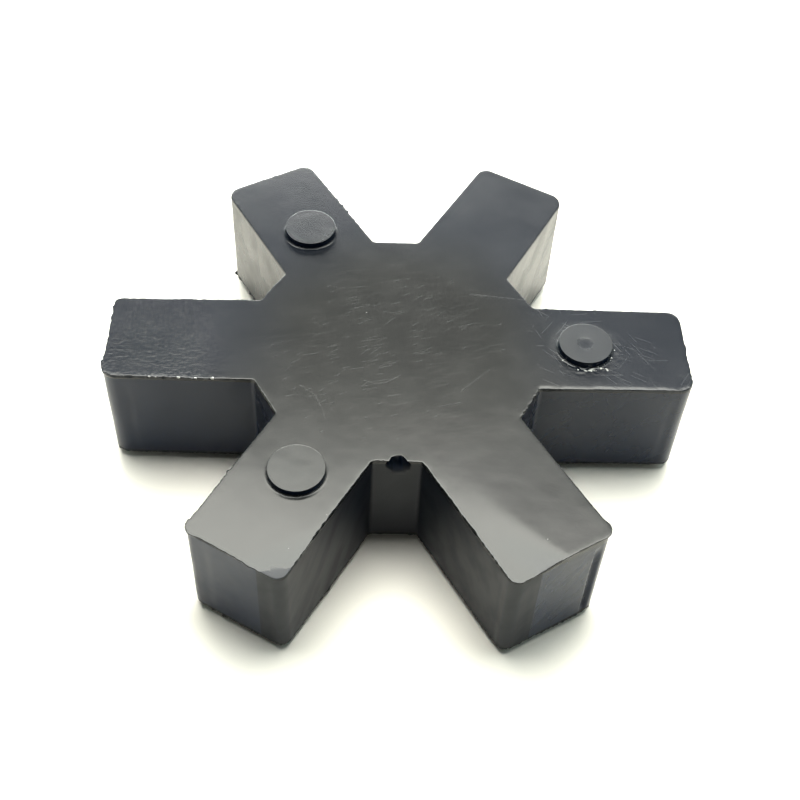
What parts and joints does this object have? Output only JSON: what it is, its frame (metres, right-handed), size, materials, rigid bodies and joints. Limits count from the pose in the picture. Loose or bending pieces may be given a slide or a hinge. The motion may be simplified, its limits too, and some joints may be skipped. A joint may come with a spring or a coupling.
{
  "type": "jaw coupling spider",
  "caption": "Flat rubber star that sits between the jaws of a shaft coupling: straight legs round a solid centre, with low round spacer buttons on alternate legs of each face.",
  "frame": {"origin": "centre of the moulding, on its axis and half way between the outer faces of the buttons", "axes": "+Z along the coupling's axis, out of the face whose buttons are on the legs at 0, 120 and 240 degrees; +X along the leg at 0 degrees"},
  "size_m": [0.0536, 0.0504, 0.0122],
  "materials": {
    "rubber": "moulded satin black, finely scratched"
  },
  "bodies": {
    "root": {"spider": "rubber"}
  },
  "joints": []
}
